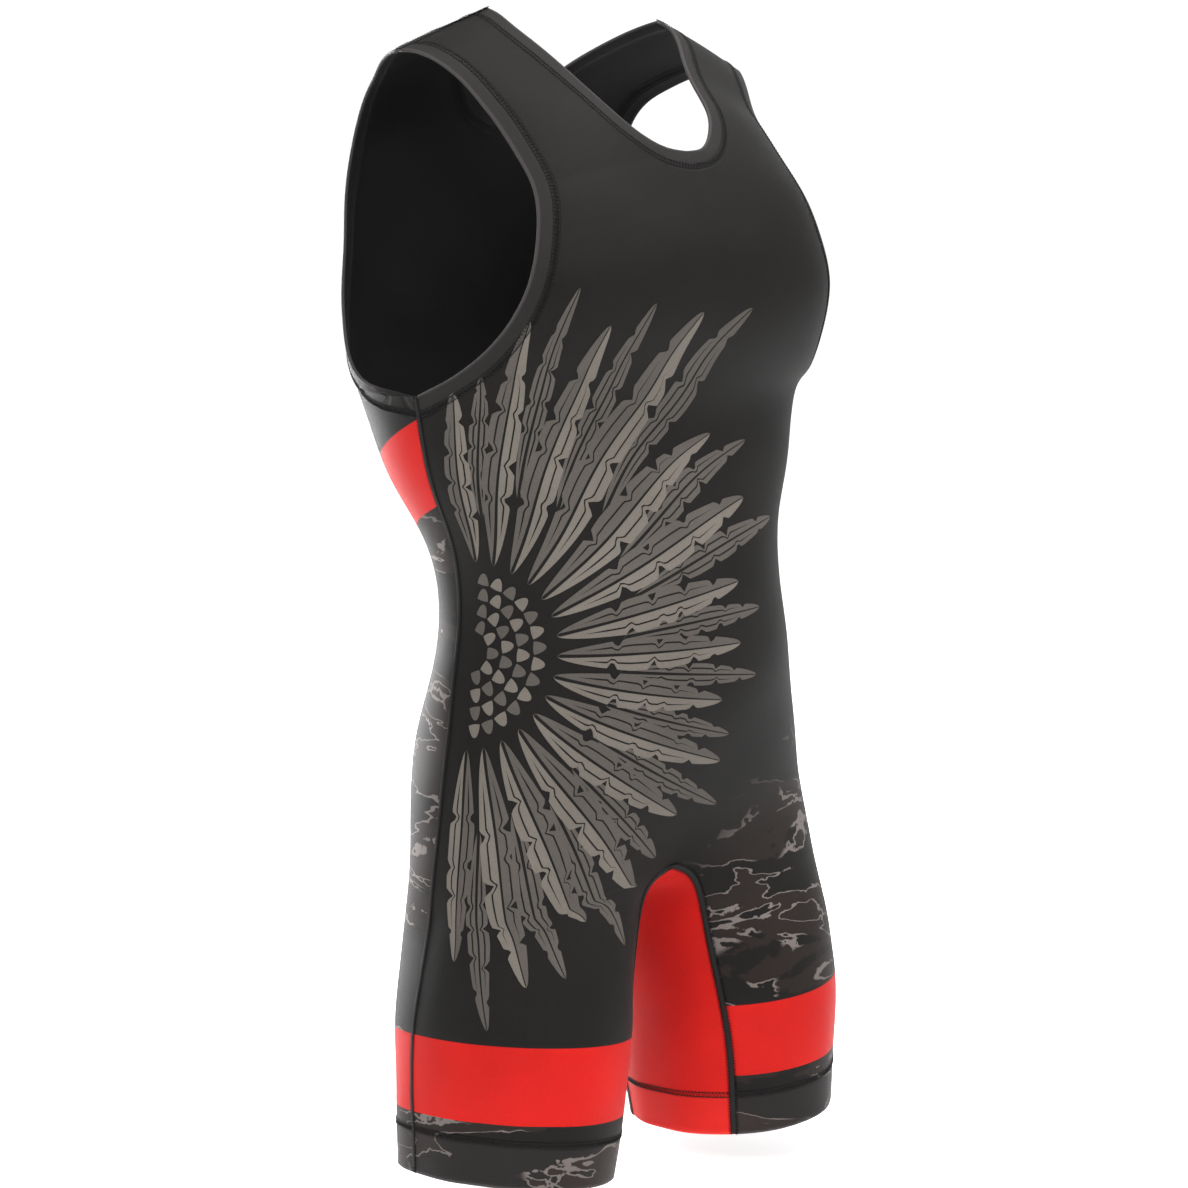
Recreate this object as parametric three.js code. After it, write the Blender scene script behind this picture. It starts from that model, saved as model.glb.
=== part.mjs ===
import * as THREE from "three";

// Wrestling singlet, filled out as worn, held at the shoulders.
// Sizes are in millimetres. +X is the wearer's left, -Y the front, +Z up.
// The origin lies midway between the straps, level with their neck ends.

// Cloth and seams
const WALL = 1.3;
const HEM_WALL = 2.4;
const HEM_FADE = 5;
const NECK_HEM = 12;
const LEG_HEM = 30;
const SEAM_GAP = 0.3;
const HALF_GAP = SEAM_GAP / 2;

// Columns across each half panel and across the gusset
const PANEL_COLUMNS = 11;
const GUSSET_COLUMNS = 8;

// The cloth is evened out this far above and below the neck and the crotch,
// where its inner edge turns a corner
const EASE_REACH = 72;
const NECK_PASSES = 8;
const CROTCH_PASSES = 16;

// One row for each level of a half panel, from the shoulder down to the hem.
// in: the end at the neck edge, the centre line or the gusset seam.
// side: the end at the side of the body.
// turn: direction of the cloth at that end, in degrees from straight across.
// full: how far the curve runs that way, as a share of the row's width.
// cut: share of the row that is cloth, less than 1 where the armhole is cut.
// rise: lift of the middle of the row. steps: mesh rows up to this level.
const LEVEL_COLUMNS = [
  "level",
  "inX", "inY", "inZ", "inTurn", "inFull",
  "sideX", "sideY", "sideZ", "sideTurn", "sideFull",
  "cut", "rise", "steps",
];

const FRONT_LEVELS = table(
  LEVEL_COLUMNS,
  [
    ["crest", 81, 19, 0, 0, 0.33, 160, 20, -32, 0, 0.33, 0.975, 0, 0],
    ["ridge", 80.5, 9, -4, 0, 0.33, 158, 11, -33, 8, 0.33, 0.955, 0, 1],
    ["shoulder", 78, -2, -12, 0, 0.34, 155, 1, -40, 22, 0.34, 0.89, 0, 1],
    ["strap top", 70, -15, -24, 0, 0.35, 152, -7, -53, 40, 0.36, 0.81, 0, 2],
    ["strap", 58, -36, -43.5, 0, 0.37, 152, -10, -73, 58, 0.38, 0.705, 0, 3],
    ["strap low", 48, -62, -66, 0, 0.4, 156, -11, -93, 68, 0.43, 0.638, 0, 3],
    ["neck turn", 34.5, -77, -83, 0, 0.44, 161, -12, -113, 74, 0.48, 0.605, 0, 3],
    ["neck low", 16, -86.5, -94, 0, 0.47, 164, -12, -126, 76, 0.51, 0.605, 0, 2],
    ["neck", 0, -88.5, -96, 0, 0.49, 166, -12, -133, 78, 0.54, 0.61, 0, 2],
    ["upper chest", 0, -104, -130, 0, 0.52, 172, -12, -158, 81, 0.55, 0.605, 0, 3],
    ["chest", 0, -116, -172, 0, 0.51, 178, -13, -197, 82, 0.5, 0.642, 0, 3],
    ["under chest", 0, -111, -212, 0, 0.43, 180, -13, -232, 82, 0.42, 0.762, 0, 3],
    ["arm turn", 0, -101, -235, 0, 0.39, 178, -14, -249, 82, 0.36, 0.9, 0, 3],
    ["armhole", 0, -93, -254, 0, 0.36, 175, -14, -256, 82, 0.32, 1, 0, 5],
    ["rib", 0, -89, -300, 0, 0.4, 162, -13, -308, 86, 0.34, 1, 0, 3],
    ["high waist", 0, -100, -345, 0, 0.42, 144, -12, -350, 88, 0.38, 1, 0, 2],
    ["waist", 0, -117, -400, 0, 0.42, 134, -10, -400, 90, 0.42, 1, 0, 3],
    ["low waist", 0, -122, -450, 0, 0.42, 142, -12, -452, 90, 0.4, 1, 0, 2],
    ["hip", 0, -113, -500, 0, 0.38, 153, -15, -506, 90, 0.42, 1, 0, 2],
    ["low hip", 0, -98, -546, 0, 0.3, 160, -15, -556, 92, 0.52, 1, 0, 2],
    ["crotch", 0, -78, -582, 0, 0.18, 164, -13, -600, 96, 0.74, 1, 0, 3],
    ["arch", 20, -77, -591.5, 15, 0.31, 166, -13, -611, 97, 0.71, 1, 0, 3],
    ["thigh top", 31.5, -77, -616, 34, 0.44, 169, -12, -628, 98, 0.67, 1, 2, 2],
    ["thigh", 38.5, -79, -650, 48, 0.54, 173, -10, -655, 99, 0.63, 1, 4, 2],
    ["band top", 46, -83, -689, 56, 0.58, 176, -8, -681, 100, 0.62, 1, 6, 2],
    ["band low", 54, -84, -741, 56, 0.58, 176, -8, -734, 100, 0.62, 1, 6, 3],
    ["hem", 60, -81, -785, 56, 0.58, 176, -8, -776, 100, 0.62, 1, 6, 4],
  ],
);

const BACK_LEVELS = table(
  LEVEL_COLUMNS,
  [
    ["crest", 81, 19, 0, 0, 0.33, 160, 20, -32, 0, 0.33, 0.975, 0, 0],
    ["ridge", 80.5, 30, -2, 0, 0.33, 158, 31, -33, 6, 0.33, 0.955, 0, 1],
    ["shoulder", 75, 44, -7, 0, 0.34, 158, 45, -38, 18, 0.34, 0.87, 0, 2],
    ["strap top", 61, 62, -18, 0, 0.38, 158, 56, -48, 38, 0.4, 0.795, 0, 2],
    ["strap", 44, 80, -33, 0, 0.46, 160, 58, -63, 60, 0.5, 0.69, 0, 3],
    ["neck turn", 22, 95, -56, 0, 0.56, 164, 46, -86, 76, 0.58, 0.592, 0, 3],
    ["neck", 0, 101, -66, 0, 0.6, 169, 30, -110, 85, 0.6, 0.547, 0, 3],
    ["upper back", 0, 112, -110, 0, 0.56, 175, 8, -142, 92, 0.59, 0.535, 0, 4],
    ["blade", 0, 118, -160, 0, 0.52, 179, -6, -187, 96, 0.55, 0.552, 0, 4],
    ["under blade", 0, 118, -205, 0, 0.49, 180, -12, -224, 98, 0.51, 0.65, 0, 3],
    ["arm turn", 0, 116, -236, 0, 0.46, 178, -14, -248, 98, 0.49, 0.79, 0, 4],
    ["armhole", 0, 113, -254, 0, 0.44, 175, -14, -256, 98, 0.49, 1, 0, 5],
    ["rib", 0, 101, -300, 0, 0.43, 162, -13, -308, 94, 0.46, 1, 0, 3],
    ["high waist", 0, 84, -345, 0, 0.4, 144, -12, -350, 92, 0.4, 1, 0, 2],
    ["waist", 0, 65, -400, 0, 0.37, 134, -10, -400, 90, 0.37, 1, 0, 3],
    ["low waist", 0, 71, -450, 0, 0.38, 142, -12, -452, 90, 0.38, 1, 0, 2],
    ["hip", 0, 88, -500, 0, 0.39, 153, -15, -506, 90, 0.4, 1, 0, 2],
    ["low hip", 0, 84, -546, 0, 0.32, 160, -15, -556, 88, 0.4, 1, 0, 2],
    ["crotch", 0, 58, -590, 0, 0.2, 164, -13, -600, 84, 0.54, 1, 0, 3],
    ["arch", 20, 51, -600, 15, 0.3, 166, -13, -611, 83, 0.53, 1, 0, 3],
    ["thigh top", 29, 43, -618, 34, 0.4, 169, -12, -628, 82, 0.51, 1, -1, 2],
    ["thigh", 36, 35, -652, 48, 0.48, 173, -10, -655, 81, 0.5, 1, -2, 2],
    ["band top", 48, 29, -698, 56, 0.51, 176, -8, -681, 80, 0.5, 1, -4, 2],
    ["band low", 55, 27, -750, 56, 0.51, 176, -8, -734, 80, 0.5, 1, -4, 3],
    ["hem", 64, 26, -795, 56, 0.51, 176, -8, -776, 80, 0.51, 1, -4, 4],
  ],
);

// The gusset runs from the front seam to the back seam at the same levels.
// sag: how far the middle of the row hangs below its ends.
const GUSSET_LEVELS = table(
  ["level", "turn", "full", "sag"],
  [
    ["crotch", 90, 0.33, 16],
    ["arch", 78, 0.34, 13],
    ["thigh top", 68, 0.35, 8],
    ["thigh", 62, 0.36, 3],
    ["band top", 56, 0.36, 0],
    ["band low", 56, 0.36, 0],
    ["hem", 56, 0.36, 0],
  ],
);

// Levels at which a line turns a corner, so no curve runs through them
const INNER_LINE = ["crest", "neck", "crotch", "hem"];
const SIDE_LINE = ["crest", "hem"];
const ARMHOLE_LINE = ["crest", "armhole", "hem"];
const ROW_SHAPE = ["crest", "crotch", "hem"];

function table(columns, rows) {
  return rows.map((row) => Object.fromEntries(columns.map((name, i) => [name, row[i]])));
}

// Natural cubic spline through the points (at, values), evaluated at x
function spline(at, values, x) {
  const n = at.length;
  const bend = bends(at, values);
  let k = 0;
  while (k < n - 2 && x > at[k + 1]) {
    k += 1;
  }
  const h = at[k + 1] - at[k];
  const a = (at[k + 1] - x) / h;
  const b = (x - at[k]) / h;
  const line = a * values[k] + b * values[k + 1];
  return line + ((a ** 3 - a) * bend[k] + (b ** 3 - b) * bend[k + 1]) * h * h / 6;
}

// Second derivatives of the natural spline, by elimination down and back up
function bends(at, values) {
  const n = at.length;
  const upper = new Array(n).fill(0);
  const right = new Array(n).fill(0);
  for (let i = 1; i < n - 1; i += 1) {
    const before = at[i] - at[i - 1];
    const after = at[i + 1] - at[i];
    const slopeBefore = (values[i] - values[i - 1]) / before;
    const slopeAfter = (values[i + 1] - values[i]) / after;
    const pivot = 2 * (before + after) - before * upper[i - 1];
    upper[i] = after / pivot;
    right[i] = (6 * (slopeAfter - slopeBefore) - before * right[i - 1]) / pivot;
  }
  const bend = new Array(n).fill(0);
  for (let i = n - 2; i > 0; i -= 1) {
    bend[i] = right[i] - upper[i] * bend[i + 1];
  }
  return bend;
}

// Distance down the panel at each level: the mean run of its two edge lines
function runs(levels) {
  const down = [0];
  for (let i = 1; i < levels.length; i += 1) {
    const p = levels[i - 1];
    const q = levels[i];
    const inner = Math.hypot(q.inX - p.inX, q.inY - p.inY, q.inZ - p.inZ);
    const outer = Math.hypot(q.sideX - p.sideX, q.sideY - p.sideY, q.sideZ - p.sideZ);
    down.push(down[i - 1] + (inner + outer) / 2);
  }
  return down;
}

// Value of one column at distance v, with no curve through the corner levels
function column(panel, name, corners, v) {
  const marks = corners.map((level) => panel.levels.findIndex((row) => row.level === level));
  let k = 0;
  while (k < marks.length - 2 && v >= panel.down[marks[k + 1]]) {
    k += 1;
  }
  const rows = panel.levels.slice(marks[k], marks[k + 1] + 1);
  const at = panel.down.slice(marks[k], marks[k + 1] + 1);
  return spline(at, rows.map((row) => row[name]), v);
}

// The share cut away is kept as its square, which makes the armhole round
// where it meets the side seam
function makePanel(levels, side) {
  const rows = levels.map((row) => ({ ...row, away: (1 - row.cut) ** 2 }));
  return { levels: rows, side, down: runs(levels) };
}

// Everything that shapes one row of a half panel
function rowShape(panel, v) {
  const inner = ["inX", "inY", "inZ"].map((name) => column(panel, name, INNER_LINE, v));
  const outer = ["sideX", "sideY", "sideZ"].map((name) => column(panel, name, SIDE_LINE, v));
  const inTurn = THREE.MathUtils.degToRad(column(panel, "inTurn", ROW_SHAPE, v));
  const sideTurn = THREE.MathUtils.degToRad(column(panel, "sideTurn", SIDE_LINE, v));
  const width = Math.hypot(outer[0] - inner[0], outer[1] - inner[1]);
  const inReach = column(panel, "inFull", ROW_SHAPE, v) * width;
  const sideReach = column(panel, "sideFull", ROW_SHAPE, v) * width;
  return {
    inner: new THREE.Vector3(...inner),
    outer: new THREE.Vector3(...outer),
    inPull: pull(inTurn, inReach, panel.side),
    outPull: pull(-sideTurn, sideReach, panel.side),
    rise: column(panel, "rise", SIDE_LINE, v),
    cut: 1 - Math.sqrt(Math.max(0, column(panel, "away", ARMHOLE_LINE, v))),
    ease: Math.min(1, v / levelAt(panel, "neck")),
  };
}

function pull(angle, reach, side) {
  return new THREE.Vector2(Math.cos(angle) * reach, side * Math.sin(angle) * reach);
}

// Point on a row, t running from 0 at its inner end to 1 at its outer end
function rowPoint(shape, t) {
  const s = 1 - t;
  const w = [s ** 3, 3 * s * s * t, 3 * s * t * t, t ** 3];
  const mix = (a, b, c, d) => w[0] * a + w[1] * b + w[2] * c + w[3] * d;
  const { inner, outer, inPull, outPull } = shape;
  const x = mix(inner.x, inner.x + inPull.x, outer.x - outPull.x, outer.x);
  const y = mix(inner.y, inner.y + inPull.y, outer.y - outPull.y, outer.y);
  const fall = t + shape.ease * (t * t * (3 - 2 * t) - t);
  const z = inner.z + (outer.z - inner.z) * fall + shape.rise * 4 * t * s;
  return new THREE.Vector3(x, y, z);
}

// Length of the cloth in a row, up to where it is cut
function rowLength(shape) {
  let length = 0;
  for (let i = 0; i < 12; i += 1) {
    const from = rowPoint(shape, shape.cut * i / 12);
    length += from.distanceTo(rowPoint(shape, shape.cut * (i + 1) / 12));
  }
  return length;
}

// Distances down the panel of all mesh rows, each with its level's name
function meshRows(panel) {
  const rows = [{ v: HALF_GAP, level: "crest" }];
  for (let i = 1; i < panel.levels.length; i += 1) {
    const { level, steps } = panel.levels[i];
    for (let k = 1; k <= steps; k += 1) {
      const share = k / steps;
      rows.push({ v: panel.down[i - 1] + (panel.down[i] - panel.down[i - 1]) * share, level });
    }
  }
  return rows;
}

function levelAt(panel, name) {
  return panel.down[panel.levels.findIndex((row) => row.level === name)];
}

// Grid of points over one half panel, with the open edges marked
function halfGrid(panel) {
  const rows = halfRows(panel);
  const seamed = (across) => 1 - THREE.MathUtils.smoothstep(across, 0.8, 1);
  for (let pass = 0; pass < NECK_PASSES; pass += 1) {
    easeRows(rows, levelAt(panel, "neck"), () => 1);
  }
  for (let pass = 0; pass < CROTCH_PASSES; pass += 1) {
    easeRows(rows, levelAt(panel, "crotch"), seamed);
  }
  return rows;
}

// One pass that evens out the cloth near a level, less towards a fixed edge
function easeRows(rows, level, outward) {
  const before = rows.map((row) => row.points.map((p) => p.clone()));
  const { smoothstep } = THREE.MathUtils;
  for (let i = 1; i < rows.length - 1; i += 1) {
    const past = Math.abs(rows[i].v - level);
    const near = 1 - smoothstep(past, EASE_REACH / 3, EASE_REACH);
    const share = (rows[i].v - rows[i - 1].v) / (rows[i + 1].v - rows[i - 1].v);
    for (let j = 1; near > 0 && j <= PANEL_COLUMNS; j += 1) {
      const across = j / PANEL_COLUMNS;
      const weight = near * smoothstep(across, 0, 0.3) * outward(across);
      const even = before[i - 1][j].clone().lerp(before[i + 1][j], share);
      rows[i].points[j].lerp(even, weight / 2);
    }
  }
}

function halfRows(panel) {
  const neck = levelAt(panel, "neck");
  const armhole = levelAt(panel, "armhole");
  const crotch = levelAt(panel, "crotch");
  return meshRows(panel).map(({ v }) => {
    const shape = rowShape(panel, v);
    const length = rowLength(shape);
    const sideSeam = v > armhole - 0.01;
    const last = sideSeam ? 1 - HALF_GAP / length : shape.cut;
    const first = v < neck - 0.01 ? NECK_HEM / length : 1 / PANEL_COLUMNS;
    const hemmed = sideSeam ? 1 / PANEL_COLUMNS : NECK_HEM / length;
    const points = [];
    for (let j = 0; j <= PANEL_COLUMNS; j += 1) {
      points.push(rowPoint(shape, last * spread(j, first, hemmed)));
    }
    const joined = v > neck - 0.01 && v < crotch + 0.01;
    if (joined) {
      points[0].x = 0;
    }
    return { v, points, joined, neckEdge: v < neck + 0.01, armEdge: v < armhole + 0.01 };
  });
}

// Column positions: the first and last strips keep a hem's width
function spread(j, first, last) {
  if (j === 0) {
    return 0;
  }
  if (j === PANEL_COLUMNS) {
    return 1;
  }
  const share = (j - 1) / (PANEL_COLUMNS - 2);
  return first + (1 - last - first) * share;
}

// A sheet is a list of rows of points; this gives its vertex normals
function sheetNormals(grid, mirrored) {
  const normals = grid.map((row) => row.map(() => new THREE.Vector3()));
  const add = (i, j, n) => normals[i][j].add(n);
  for (let i = 0; i < grid.length - 1; i += 1) {
    for (let j = 0; j < grid[i].length - 1; j += 1) {
      const a = grid[i][j];
      const b = grid[i + 1][j];
      const c = grid[i + 1][j + 1];
      const d = grid[i][j + 1];
      const n = c.clone().sub(a).cross(d.clone().sub(b));
      add(i, j, n);
      add(i + 1, j, n);
      add(i + 1, j + 1, n);
      add(i, j + 1, n);
    }
  }
  normals.forEach((row, i) => {
    if (mirrored(i)) {
      row[0].x = 0;
    }
    row.forEach((n) => n.normalize());
  });
  return normals;
}

function nearest(point, edge) {
  let best = Infinity;
  const line = new THREE.Line3();
  const foot = new THREE.Vector3();
  for (let i = 0; i < edge.length - 1; i += 1) {
    line.set(edge[i], edge[i + 1]);
    line.closestPointToPoint(point, true, foot);
    best = Math.min(best, foot.distanceTo(point));
  }
  return best;
}

// Wall thickness at a point: doubled where the cloth is turned in
function wallAt(point, hems) {
  let share = 0;
  hems.forEach(({ edge, width }) => {
    const past = nearest(point, edge) - width;
    share = Math.max(share, 1 - THREE.MathUtils.smoothstep(past, 0, HEM_FADE));
  });
  return WALL + (HEM_WALL - WALL) * share;
}

// Closed solid from triangles, with equal corners welded
function solid(name, triangles, material) {
  const keys = new Map();
  const positions = [];
  const index = [];
  const number = (p) => {
    const key = [p.x, p.y, p.z].map((c) => Math.round(c * 1e5)).join(",");
    if (!keys.has(key)) {
      keys.set(key, positions.length / 3);
      positions.push(p.x, p.y, p.z);
    }
    return keys.get(key);
  };
  triangles.forEach((corners) => {
    const [a, b, c] = corners.map(number);
    if (a !== b && b !== c && c !== a) {
      index.push(a, b, c);
    }
  });
  const geometry = new THREE.BufferGeometry();
  geometry.setAttribute("position", new THREE.Float32BufferAttribute(positions, 3));
  geometry.setIndex(index);
  geometry.computeVertexNormals();
  const mesh = new THREE.Mesh(geometry, material);
  mesh.name = name;
  return mesh;
}

function quad(a, b, c, d) {
  return [[a, b, c], [a, c, d]];
}

// Outer sheet, inner sheet and rims of one half, wound outward
function wallTriangles(outer, inner, open) {
  const faces = [];
  const rows = outer.length - 1;
  const columns = outer[0].length - 1;
  for (let i = 0; i < rows; i += 1) {
    for (let j = 0; j < columns; j += 1) {
      faces.push(...quad(outer[i][j], outer[i + 1][j], outer[i + 1][j + 1], outer[i][j + 1]));
      faces.push(...quad(inner[i][j], inner[i][j + 1], inner[i + 1][j + 1], inner[i + 1][j]));
    }
    if (open.first(i)) {
      faces.push(...quad(outer[i][0], inner[i][0], inner[i + 1][0], outer[i + 1][0]));
    }
    if (open.last(i)) {
      const n = columns;
      faces.push(...quad(outer[i][n], outer[i + 1][n], inner[i + 1][n], inner[i][n]));
    }
  }
  for (let j = 0; j < columns; j += 1) {
    if (open.top) {
      faces.push(...quad(outer[0][j], outer[0][j + 1], inner[0][j + 1], inner[0][j]));
    }
    const n = rows;
    faces.push(...quad(outer[n][j], inner[n][j], inner[n][j + 1], outer[n][j + 1]));
  }
  return faces;
}

function turnOver(faces) {
  return faces.map(([a, b, c]) => [a, c, b]);
}

function mirror(faces) {
  const flip = (p) => new THREE.Vector3(-p.x, p.y, p.z);
  return faces.map(([a, b, c]) => [flip(a), flip(c), flip(b)]);
}

function cloth(name, colour) {
  return new THREE.MeshStandardMaterial({ name, color: colour, roughness: 0.75, metalness: 0 });
}

// Half grid of a panel with the direction that its cloth faces at each point
function panelSheet(panel) {
  const half = halfGrid(panel);
  const normals = sheetNormals(half.map((row) => row.points), (i) => half[i].joined);
  normals.flat().forEach((n) => n.multiplyScalar(-panel.side));
  return { panel, half, normals };
}

// Both walls face the same way along a seam, so the gap stays even
function matchSeams(first, second) {
  const level = (sheet, name) => {
    const v = levelAt(sheet.panel, name) - 0.01;
    return sheet.half.findIndex((row) => row.v > v);
  };
  const share = (a, b) => {
    a.add(b).normalize();
    b.copy(a);
  };
  for (let j = 0; j <= PANEL_COLUMNS; j += 1) {
    share(first.normals[0][j], second.normals[0][j]);
  }
  const offset = level(second, "armhole") - level(first, "armhole");
  for (let i = level(first, "armhole"); i < first.half.length; i += 1) {
    share(first.normals[i].at(-1), second.normals[i + offset].at(-1));
  }
}

// Front or back body piece, both halves in one solid
function bodyPiece(name, sheet, material) {
  const { panel, half, normals } = sheet;
  const outer = half.map((row) => row.points);
  const hems = [
    { edge: half.filter((row) => row.neckEdge).map((row) => row.points[0]), width: NECK_HEM },
    { edge: half.filter((row) => row.armEdge).map((row) => row.points.at(-1)), width: NECK_HEM },
    { edge: outer.at(-1), width: LEG_HEM },
  ];
  const inner = outer.map((row, i) => row.map((p, j) => {
    return p.clone().addScaledVector(normals[i][j], -wallAt(p, hems));
  }));
  const open = {
    first: (i) => !(half[i].joined && half[i + 1].joined),
    last: () => true,
    top: true,
  };
  const faces = wallTriangles(outer, inner, open);
  const outside = panel.side < 0 ? faces : turnOver(faces);
  return solid(name, [...outside, ...mirror(outside)], material);
}

// Gusset: one strip from leg hem to leg hem over the crotch
function gussetPiece(name, front, back, material) {
  const fromFront = front.half.findIndex((row) => row.v > levelAt(frontPanel, "crotch") - 0.01);
  const fromBack = back.half.findIndex((row) => row.v > levelAt(backPanel, "crotch") - 0.01);
  const down = GUSSET_LEVELS.map(({ level }) => levelAt(frontPanel, level));
  const value = (key, v) => spline(down, GUSSET_LEVELS.map((row) => row[key]), v);
  const outer = [];
  for (let i = 0; i + fromFront < front.half.length; i += 1) {
    const start = front.half[i + fromFront];
    const end = back.half[i + fromBack];
    outer.push(gussetRow(start.points[0], end.points[0], (key) => value(key, start.v)));
  }
  const normals = sheetNormals(outer, () => false);
  normals.forEach((row, i) => {
    row[0].copy(front.normals[i + fromFront][0]).negate();
    row[GUSSET_COLUMNS].copy(back.normals[i + fromBack][0]).negate();
  });
  normals[0].forEach((n) => n.setX(0).normalize());
  const hems = [{ edge: outer.at(-1), width: LEG_HEM }];
  const inner = outer.map((row, i) => row.map((p, j) => {
    const point = p.clone().addScaledVector(normals[i][j], wallAt(p, hems));
    return i === 0 ? point.setX(0) : point;
  }));
  const open = { first: () => true, last: () => true, top: false };
  const faces = turnOver(wallTriangles(outer, inner, open));
  return solid(name, [...faces, ...mirror(faces)], material);
}

function gussetRow(start, end, value) {
  const width = start.distanceTo(end);
  const reach = value("full") * width;
  const angle = THREE.MathUtils.degToRad(value("turn"));
  const across = Math.cos(angle) * reach;
  const along = Math.sin(angle) * reach;
  const first = SEAM_GAP / width;
  const points = [];
  for (let j = 0; j <= GUSSET_COLUMNS; j += 1) {
    const t = first + (1 - 2 * first) * (j / GUSSET_COLUMNS);
    const s = 1 - t;
    const ends = s ** 3 + 3 * s * s * t;
    const x = start.x * ends + end.x * (1 - ends) - across * 3 * s * t;
    const y = start.y * ends + end.y * (1 - ends) + along * 3 * s * t * (s - t);
    const z = start.z * s + end.z * t - value("sag") * 4 * s * t;
    points.push(new THREE.Vector3(x, y, z));
  }
  return points;
}

const frontPanel = makePanel(FRONT_LEVELS, -1);
const backPanel = makePanel(BACK_LEVELS, 1);

const group = new THREE.Group();
group.name = "wrestling_singlet";

const front = panelSheet(frontPanel);
const back = panelSheet(backPanel);
matchSeams(front, back);

group.add(bodyPiece("front_panel", front, cloth("black_knit_front", 0x2b2928)));
group.add(bodyPiece("back_panel", back, cloth("black_knit_back", 0x262424)));
group.add(gussetPiece("gusset", front, back, cloth("red_knit", 0xd22a24)));

export default group;
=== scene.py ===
import math

import bmesh
import bpy
import numpy as np
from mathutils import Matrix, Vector
from mathutils.bvhtree import BVHTree


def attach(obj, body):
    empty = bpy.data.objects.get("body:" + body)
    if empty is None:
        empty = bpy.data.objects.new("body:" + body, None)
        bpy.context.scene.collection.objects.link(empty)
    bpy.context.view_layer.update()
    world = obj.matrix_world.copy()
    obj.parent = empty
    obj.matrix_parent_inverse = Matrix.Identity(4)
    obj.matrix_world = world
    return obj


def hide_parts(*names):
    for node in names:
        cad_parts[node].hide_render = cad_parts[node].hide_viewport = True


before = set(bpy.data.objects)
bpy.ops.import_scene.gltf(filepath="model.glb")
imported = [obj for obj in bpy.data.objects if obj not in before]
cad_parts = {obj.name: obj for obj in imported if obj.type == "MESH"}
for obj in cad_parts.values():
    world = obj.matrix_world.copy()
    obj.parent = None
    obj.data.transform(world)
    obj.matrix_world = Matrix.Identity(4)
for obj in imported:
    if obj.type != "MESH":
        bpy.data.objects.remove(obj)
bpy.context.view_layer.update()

# Wrestling singlet, filled out as worn and held at the shoulders.
# The level tables are in millimetres, and everything built is in metres.

MM = 0.001
WALL = 1.0
HEM_WALL = 2.2
NECK_HEM = 12.0
LEG_HEM = 30.0
HEM_FADE = 3.0
HALF_GAP = 0.15
COLUMNS = 46
GUSSET_COLUMNS = 26
LEG_TOP = -612.0
STRAP_FOOT = -100.0
EDGE_JUMP = 30.0
ROW_STEP = 4.2
COLUMN_CROWD = 0.72
EASE_REACH = 72.0
NECK_PASSES = 40
CROTCH_PASSES = 60

# One row for each level of a half panel, from the shoulder down to the hem
LEVEL_COLUMNS = "level inX inY inZ inTurn inFull sideX sideY sideZ sideTurn sideFull cut rise".split()

FRONT_LEVELS = [
    ("crest", 81, 19, 0, 0, 0.33, 160, 20, -32, 0, 0.33, 0.975, 0),
    ("ridge", 80.5, 9, -4, 0, 0.33, 158, 11, -33, 8, 0.33, 0.955, 0),
    ("shoulder", 78, -2, -12, 0, 0.34, 155, 1, -40, 22, 0.34, 0.89, 0),
    ("strap top", 70, -15, -24, 0, 0.35, 152, -7, -53, 40, 0.36, 0.81, 0),
    ("strap", 58, -36, -43.5, 0, 0.37, 152, -10, -73, 58, 0.38, 0.705, 0),
    ("strap low", 48, -62, -66, 0, 0.4, 156, -11, -93, 68, 0.43, 0.638, 0),
    ("neck turn", 34.5, -77, -83, 0, 0.44, 161, -12, -113, 74, 0.48, 0.605, 0),
    ("neck low", 16, -86.5, -94, 0, 0.47, 164, -12, -126, 76, 0.51, 0.605, 0),
    ("neck", 0, -88.5, -96, 0, 0.49, 166, -12, -133, 78, 0.54, 0.61, 0),
    ("upper chest", 0, -104, -130, 0, 0.52, 172, -12, -158, 81, 0.55, 0.605, 0),
    ("chest", 0, -116, -172, 0, 0.51, 178, -13, -197, 82, 0.5, 0.642, 0),
    ("under chest", 0, -111, -212, 0, 0.43, 180, -13, -232, 82, 0.42, 0.762, 0),
    ("arm turn", 0, -101, -235, 0, 0.39, 178, -14, -249, 82, 0.36, 0.9, 0),
    ("armhole", 0, -93, -254, 0, 0.36, 175, -14, -256, 82, 0.32, 1, 0),
    ("rib", 0, -89, -300, 0, 0.4, 162, -13, -308, 86, 0.34, 1, 0),
    ("high waist", 0, -100, -345, 0, 0.42, 144, -12, -350, 88, 0.38, 1, 0),
    ("waist", 0, -117, -400, 0, 0.42, 134, -10, -400, 90, 0.42, 1, 0),
    ("low waist", 0, -122, -450, 0, 0.42, 142, -12, -452, 90, 0.4, 1, 0),
    ("hip", 0, -113, -500, 0, 0.38, 153, -15, -506, 90, 0.42, 1, 0),
    ("low hip", 0, -98, -546, 0, 0.3, 160, -15, -556, 92, 0.52, 1, 0),
    ("crotch", 0, -78, -582, 0, 0.18, 164, -13, -600, 96, 0.74, 1, 0),
    ("arch", 20, -77, -591.5, 15, 0.31, 166, -13, -611, 97, 0.71, 1, 0),
    ("thigh top", 31.5, -77, -616, 34, 0.44, 169, -12, -628, 98, 0.67, 1, 2),
    ("thigh", 38.5, -79, -650, 48, 0.54, 173, -10, -655, 99, 0.63, 1, 4),
    ("band top", 46, -83, -689, 56, 0.58, 176, -8, -681, 100, 0.62, 1, 6),
    ("band low", 54, -84, -741, 56, 0.58, 176, -8, -734, 100, 0.62, 1, 6),
    ("hem", 60, -81, -785, 56, 0.58, 176, -8, -776, 100, 0.62, 1, 6),
]

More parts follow.
